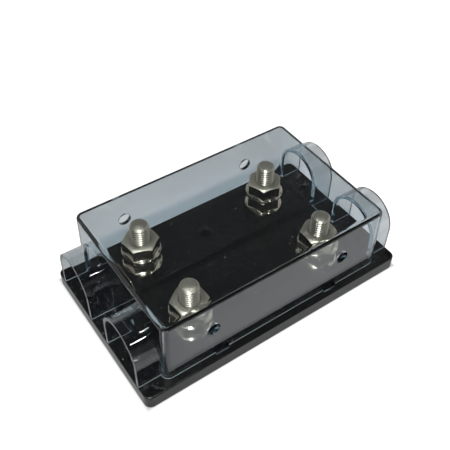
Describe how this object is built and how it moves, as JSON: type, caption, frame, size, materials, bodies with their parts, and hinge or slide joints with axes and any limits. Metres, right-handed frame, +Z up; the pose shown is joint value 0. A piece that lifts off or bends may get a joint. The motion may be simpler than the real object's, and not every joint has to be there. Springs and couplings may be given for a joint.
{
  "type": "covered two-lane strip fuse holder",
  "caption": "Bolt-down fuse holder: black moulded base, nickel studs with flange nuts in two fuse lanes, clear smoke clip-on cover with cable tubes at both ends.",
  "frame": {"origin": "middle of the base's underside", "axes": "+X along the fuse lanes, +Y from the front lane to the rear lane, +Z up"},
  "size_m": [0.128, 0.0764, 0.0384],
  "materials": {
    "base_black": "gloss",
    "cover_smoke": "gloss",
    "nickel": "satin"
  },
  "bodies": {
    "base": {"base": "base_black", "stud_front_left": "nickel", "stud_front_right": "nickel", "stud_rear_left": "nickel", "stud_rear_right": "nickel", "lock_nut_front_left": "nickel", "lock_nut_front_right": "nickel", "lock_nut_rear_left": "nickel", "lock_nut_rear_right": "nickel"},
    "cover": {"cover": "cover_smoke"},
    "terminal_nut_front_left": {"terminal_nut_front_left": "nickel"},
    "terminal_nut_front_right": {"terminal_nut_front_right": "nickel"},
    "terminal_nut_rear_left": {"terminal_nut_rear_left": "nickel"},
    "terminal_nut_rear_right": {"terminal_nut_rear_right": "nickel"}
  },
  "joints": [
    {"name": "cover_lift", "type": "slide", "parent": "base", "child": "cover", "axis": [0, 0, 1], "range_m": [0, 0.04]},
    {"name": "terminal_nut_front_left_travel", "type": "slide", "parent": "base", "child": "terminal_nut_front_left", "axis": [0, 0, 1], "range_m": [0, 0.0085]},
    {"name": "terminal_nut_front_right_travel", "type": "slide", "parent": "base", "child": "terminal_nut_front_right", "axis": [0, 0, 1], "range_m": [0, 0.0085]},
    {"name": "terminal_nut_rear_left_travel", "type": "slide", "parent": "base", "child": "terminal_nut_rear_left", "axis": [0, 0, 1], "range_m": [0, 0.0085]},
    {"name": "terminal_nut_rear_right_travel", "type": "slide", "parent": "base", "child": "terminal_nut_rear_right", "axis": [0, 0, 1], "range_m": [0, 0.0085]}
  ]
}
